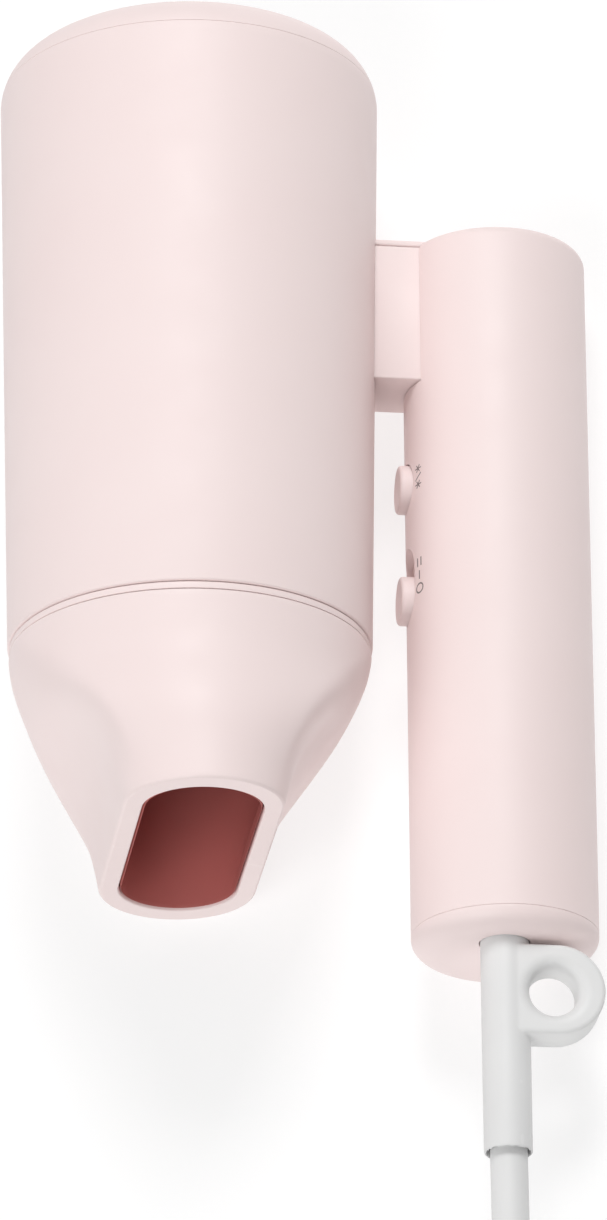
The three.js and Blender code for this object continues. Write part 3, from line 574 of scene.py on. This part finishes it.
def share(y):
    """How much of the round back section is left at y: 1 at the barrel, and 0 at the outlet, where
    the last term takes away what the first has left."""
    depth = min(max(-y, 0.0), -NOZZLE_FRONT)
    return 1 / (1 + (depth / 17.6) ** 3.6) - 0.0662 * (depth / -NOZZLE_FRONT) ** 3


def nozzle_ring(y, inset=0.0):
    """A section of the nozzle's outside, or of its inside with an inset."""
    width = 13.5 + 17.9 * share(y)
    length = 31.2 + 2.4 * ease((-y - 8) / 18)
    flats = 1 - ease((-y - 15) / 20)
    blend = 7.5 * ease(-y / 12) - 5.5 * ease((-y - 12) / 18)
    return stadium(y, min(width, length) - inset, length - inset, flats, blend)


def duct_ring(y, outset=0.0):
    """A section of the liner, from the slot to the round duct."""
    left = share(y)
    return stadium(y, SLOT_HALF_WIDTH + (DUCT_RADIUS - SLOT_HALF_WIDTH) * left + outset,
                   SLOT_HALF_LENGTH + (DUCT_RADIUS - SLOT_HALF_LENGTH) * left + outset)


heights = [NOZZLE_BACK - 0.5 - 0.8 * k for k in range(43)]
skin = [nozzle_ring(NOZZLE_BACK, 2.4), nozzle_ring(NOZZLE_BACK, 0.35),
        nozzle_ring(NOZZLE_BACK - 0.1, 0.1)]
skin += [nozzle_ring(y) for y in heights]
for k in range(1, 7):
    a = math.radians(10 * k)
    level = NOZZLE_FRONT + 0.866 * RIM_ROUND - RIM_ROUND * math.sin(a)
    skin.append(nozzle_ring(level, RIM_ROUND * (1 - math.cos(a))))
# The flat rim, its inner lip and the step behind the lip, as (depth, half width, half length).
for depth, half_width, half_length in ((0, 13.0, 33.1), (0, 10.55, 29.25), (0.12, 10.38, 29.08),
                                       (0.4, 10.28, 28.98), (1.4, 10.28, 28.98), (1.4, 11.2, 29.9)):
    skin.append(stadium(NOZZLE_FRONT + depth, half_width, half_length))
skin += [nozzle_ring(y, 1.8) for y in heights[::-2] if y > NOZZLE_FRONT + 4]
shown(new_object("nozzle_skin", *grid(skin)), "nozzle", PINK, ["nozzle_shell"],
      sharp=24)

duct = [NOZZLE_FRONT + 0.35 + k for k in range(36)]
liner = [duct_ring(duct[0] + 0.06, 0.05), duct_ring(duct[0], 0.02)] + [duct_ring(y) for y in duct]
liner += [stadium(3.5, DUCT_RADIUS, DUCT_RADIUS), stadium(3.5, DUCT_RADIUS + 1.2, DUCT_RADIUS + 1.2)]
liner += [duct_ring(y, 1.0) for y in duct[::-1] if y > -35] + [duct_ring(-35.0, 0.05)]
# The liner carries the painted shade of the outlet's inside: its deep red is shade, not a coloured
# part.
shown(new_object("nozzle_liner_skin", *grid(liner)), "nozzle", OUTLET_SHADE_RED,
      ["nozzle_liner"], sharp=50)

seat_outline = rounded([(26.5, -1.4), (31.1, -1.4, 0.08), (31.1, -0.15, 0.32), (28.6, -0.15),
                        (28.6, 4.3), (29.2, 4.3), (29.2, 5.1), (26.5, 5.1)])
shown(new_object("nozzle_seat_skin", *lathe(seat_outline, SMOOTH_TURN)), "nozzle_seat",
      PINK, ["nozzle_seat_ring"])

# ---- Handle ----------------------------------------------------------------------------------
TOP, SEAM, BOTTOM, TOP_ROUND = 76.8, -50.3, -54.1, 2.14
BORE = HANDLE_RADIUS - 2.0
KNOB_RADIUS, KNOB_FACE, POCKET_RADIUS = 4.3, 17.57, 4.65
POWER_Y, COOL_Y, TRAVEL, POCKET_FLOOR = 11.0, 32.0, 4.9, 14.35
RELIEF_X, RELIEF_Z, HOLE = -1.2, 6.9, 4.4


def racetrack(radius, low, high):
    """A prism along X between low and high: two half circles, the power knob's travel apart."""
    circle = [(radius * math.cos(math.radians(a)), radius * math.sin(math.radians(a)))
              for a in range(-90, 91, 4)]
    outline = [(POWER_Y + TRAVEL + y, z) for y, z in circle] + [(POWER_Y - y, -z) for y, z in circle]
    return prism_x(outline, low, high)


body_outline = [(BORE, SEAM + 0.05), (HANDLE_RADIUS - 0.05, SEAM + 0.05),
                (HANDLE_RADIUS, SEAM + 0.11)]
body_outline += [(HANDLE_RADIUS, y) for y in range(-45, 75, 8)]
body_outline += arc(HANDLE_RADIUS - TOP_ROUND, TOP - TOP_ROUND, TOP_ROUND, 0, 90, 12)
body_outline += [(0.0, TOP), (0.0, TOP - 2), (BORE, TOP - 2)]
handle_skin = new_object("handle_skin", *lathe(body_outline, SMOOTH_TURN))
combine(handle_skin, "UNION", racetrack(6.2, -14.2, -POCKET_FLOOR + 1.7))
arm_slot = prism(rectangle(-20, 13.65, PIVOT_Y - 13.6, TOP + 5), -SLOT_HALF, SLOT_HALF)
cool_pocket = prism_x([(COOL_Y + POCKET_RADIUS * math.cos(a), POCKET_RADIUS * math.sin(a))
                       for a in turns(96)], -25, -10)
combine(handle_skin, "DIFFERENCE", arm_slot, racetrack(POCKET_RADIUS, -25, -POCKET_FLOOR),
        racetrack(1.9, -25, -10), cool_pocket)
shown(handle_skin, "handle", PINK, ["handle_shell"], HANDLE)

# The end cap's rounded edge is 5.2 mm across and 3.5 mm high.
end_round = [(HANDLE_RADIUS - 5.2 + 5.2 * math.sin(math.radians(a)),
              BOTTOM + 3.5 - 3.5 * math.cos(math.radians(a))) for a in range(0, 91, 5)]
end_outline = [(0.0, BOTTOM), *end_round, (HANDLE_RADIUS, SEAM - 0.06), (HANDLE_RADIUS - 0.05, SEAM),
               (BORE - 0.3, SEAM), (BORE - 0.3, SEAM + 6.2), (12.2, SEAM + 6.2),
               (12.2, BOTTOM + 2.4), (0.0, BOTTOM + 2.4)]
end_cap = new_object("handle_cap_skin", *lathe(end_outline, SMOOTH_TURN))
cord_hole = lathe([(0.0, BOTTOM - 2), (HOLE, BOTTOM - 2), (HOLE, BOTTOM + 5), (0.0, BOTTOM + 5)],
                  centre=(RELIEF_X, RELIEF_Z))
shown(combine(end_cap, "DIFFERENCE", cord_hole), "handle", PINK, ["handle_cap"],
      HANDLE)


def knob(name, y, body, stem):
    """A flat round cap with a dished face and softened edges, facing the barrel. Its body and the
    node that it stands for have the same name."""
    outline = [(0.0, KNOB_FACE - 0.22), (1.5, KNOB_FACE - 0.19), (2.6, KNOB_FACE - 0.08),
               (3.2, KNOB_FACE)]
    outline += arc(KNOB_RADIUS - 0.6, KNOB_FACE - 0.6, 0.6, 90, 0, 8)
    outline += [(KNOB_RADIUS, stem), (1.4, stem), (1.4, stem - 1.5), (0.0, stem - 1.5)]
    made = new_object(name, *lathe(outline))
    made.data.transform(Matrix.Translation((0, y, 0)) @ Matrix.Rotation(math.pi / 2, 4, "Z"))
    shown(made, body, PINK, [body], HANDLE)


knob("power_knob_skin", POWER_Y, "power_knob", POCKET_FLOOR + 0.2)
knob("cool_button_skin", COOL_Y, "cool_button", 12.6)

# ---- Printed marks beside the switches -------------------------------------------------------
MARK_ANGLE = math.asin(6.3 / HANDLE_RADIUS)
INK_LOW, INK_HIGH = -0.02, 0.015  # the print's faces, from the handle's surface


def stroke(points, width=0.3, closed=False):
    """A printed stroke through (across, along) points, wrapped on the handle's side."""
    path = [Vector(p) for p in points]
    if not closed:
        extra = [path[0] + (path[1] - path[0]) * t for t in (0.25, 0.5, 0.75)]
        path = [path[0], *extra, *path[1:]]
    count = len(path)
    verts, faces = [], []
    for k, here in enumerate(path):
        before = path[k - 1] if closed or k else here
        after = path[(k + 1) % count] if closed or k + 1 < count else here
        side_way = Vector((-(after - before).y, (after - before).x)).normalized() * width / 2
        for across, along in (here + side_way, here - side_way):
            angle = MARK_ANGLE + across / HANDLE_RADIUS
            for lift in (INK_LOW, INK_HIGH):
                radius = HANDLE_RADIUS + lift
                verts.append((-radius * math.cos(angle), along, radius * math.sin(angle)))
    for k in range(count if closed else count - 1):
        a, b = 4 * k, 4 * ((k + 1) % count)
        faces += [(a, a + 1, b + 1, b), (a + 1, a + 3, b + 3, b + 1), (a + 3, a + 2, b + 2, b + 3),
                  (a + 2, a, b, b + 2)]
    if not closed:
        end = 4 * (count - 1)
        faces += [(0, 2, 3, 1), (end, end + 1, end + 3, end + 2)]
    return verts, faces


def marks(name, strokes):
    """One printed piece from several strokes."""
    verts, faces = [], []
    for part_verts, part_faces in strokes:
        faces += [tuple(i + len(verts) for i in face) for face in part_faces]
        verts += part_verts
    shown(new_object(name, verts, faces), "handle", INK, (), HANDLE)


ring_mark = [(1.05 * math.cos(math.radians(a)), POWER_Y + 0.85 * math.sin(math.radians(a)))
             for a in range(0, 360, 15)]
marks("switch_marks", [
    stroke(ring_mark, 0.28, True), stroke([(0, 12.7), (0, 14.3)]),
    stroke([(-0.55, 15.1), (-0.55, 16.7)]), stroke([(0.55, 15.1), (0.55, 16.7)])])
star_strokes = []
for centre_y in (30.5, 33.5):
    for turn in (0, 60, 120):
        dx, dy = 0.95 * math.cos(math.radians(turn)), 0.75 * math.sin(math.radians(turn))
        star_strokes.append(stroke([(-dx, centre_y - dy), (dx, centre_y + dy)], 0.2))
marks("button_marks", star_strokes + [stroke([(-0.9, 31.4), (0.9, 32.5)], 0.2)])

# ---- Strain relief and hang loop -------------------------------------------------------------
SLEEVE_TIP, SLEEVE_TOP, SLEEVE_BORE = -91.7, -49.7, 3.4
LOOP_X, LOOP_Y, LOOP_HALF_WIDTH, LOOP_HALF_HEIGHT, LOOP_HALF_THICK = 7.3, -63.25, 8.1, 8.0, 3.9
EYE_X, EYE_Y, EYE_RADIUS, EYE_LIP = 6.7, -63.45, 4.15, 2.1


def strain_relief():
    """A tapered sleeve with a flat loop grown out of its side, with all edges soft."""
    outline = rounded([(SLEEVE_BORE, SLEEVE_TIP, 0.1), (4.12, SLEEVE_TIP, 0.3), (4.15, -67.8),
                       (4.15, SLEEVE_TOP), (SLEEVE_BORE, SLEEVE_TOP)], 4)
    sleeve = new_object("strain_relief_skin", *lathe(outline, centre=(RELIEF_X, RELIEF_Z)))
    loop = [(RELIEF_X, LOOP_Y + LOOP_HALF_HEIGHT), (RELIEF_X, LOOP_Y - LOOP_HALF_HEIGHT)]
    loop += [(LOOP_X + LOOP_HALF_WIDTH * math.cos(math.radians(a)),
              LOOP_Y + LOOP_HALF_HEIGHT * math.sin(math.radians(a))) for a in range(-90, 91, 5)]
    flat = new_object("loop", *prism(loop, RELIEF_Z - LOOP_HALF_THICK, RELIEF_Z + LOOP_HALF_THICK))
    bevelled(flat, 0.6)
    loop_shape = ([tuple(v.co) for v in flat.data.vertices],
                  [tuple(p.vertices) for p in flat.data.polygons])
    bpy.data.objects.remove(flat)
    combine(sleeve, "UNION", loop_shape)
    # The eye flares out to both faces of the loop, so its lips are round.
    flare = EYE_RADIUS + EYE_LIP
    profile = [(0.0, -7.0), (flare, -7.0)]
    profile += arc(flare, EYE_LIP - LOOP_HALF_THICK, EYE_LIP, 270, 180, 8)
    profile += arc(flare, LOOP_HALF_THICK - EYE_LIP, EYE_LIP, 180, 90, 8)
    profile += [(flare, 7.0), (0.0, 7.0)]
    eye_verts, eye_faces = lathe(profile)
    eye_verts = [(EYE_X + x, z + EYE_Y, y + RELIEF_Z) for x, y, z in eye_verts]
    bore = lathe([(0.0, -94), (3.8, -94), (3.8, -86.0), (SLEEVE_BORE, -84.0), (SLEEVE_BORE, -48),
                  (0.0, -48)], centre=(RELIEF_X, RELIEF_Z))
    combine(sleeve, "DIFFERENCE", (eye_verts, eye_faces), bore)
    even = sleeve.modifiers.new("even", "REMESH")
    even.mode = "VOXEL"
    even.voxel_size = 0.24
    soft = sleeve.modifiers.new("soft", "SMOOTH")
    soft.factor = 0.5
    soft.iterations = 5
    return baked(sleeve)


shown(strain_relief(), "handle", GREY, ["strain_relief"], HANDLE, sharp=180)

# ---- Floor and light -------------------------------------------------------------------------
floor_mesh = bpy.data.meshes.new("floor")
floor_mesh.from_pydata([(-3, -3, 0), (3, -3, 0), (3, 3, 0), (-3, 3, 0)], [], [(0, 1, 2, 3)])
floor = bpy.data.objects.new("floor", floor_mesh)
scene.collection.objects.link(floor)
# The floor glows a little, like a light table, so that shadows stay faint.
paper = bpy.data.materials.new("pale_paper")
paper.use_nodes = True
for socket, value in {"Base Color": (0.36, 0.36, 0.36, 1), "Emission Color": (1.0, 1.0, 1.0, 1),
                      "Emission Strength": 0.66, "Roughness": 0.9}.items():
    paper.node_tree.nodes["Principled BSDF"].inputs[socket].default_value = value
floor_mesh.materials.append(paper)

world = bpy.data.worlds.new("studio")
world.use_nodes = True
world.node_tree.nodes["Background"].inputs["Color"].default_value = (1.0, 1.0, 1.0, 1)
world.node_tree.nodes["Background"].inputs["Strength"].default_value = 0.30
scene.world = world


def softbox(name, place, size, power):
    """A square area light that points at the row frame's origin."""
    data = bpy.data.lights.new(name, "AREA")
    data.shape = "SQUARE"
    data.size = size
    data.energy = power
    made = bpy.data.objects.new(name, data)
    made.location = place
    made.rotation_mode = "QUATERNION"
    made.rotation_quaternion = (-Vector(place)).to_track_quat("-Z", "Y")
    scene.collection.objects.link(made)


softbox("key", (0.22, 0.8, 1.15), 0.5, 10.9)
softbox("front", (-0.34, -0.86, 1.05), 0.8, 7.8)
softbox("side", (-0.85, -0.75, 0.45), 0.5, 1.3)
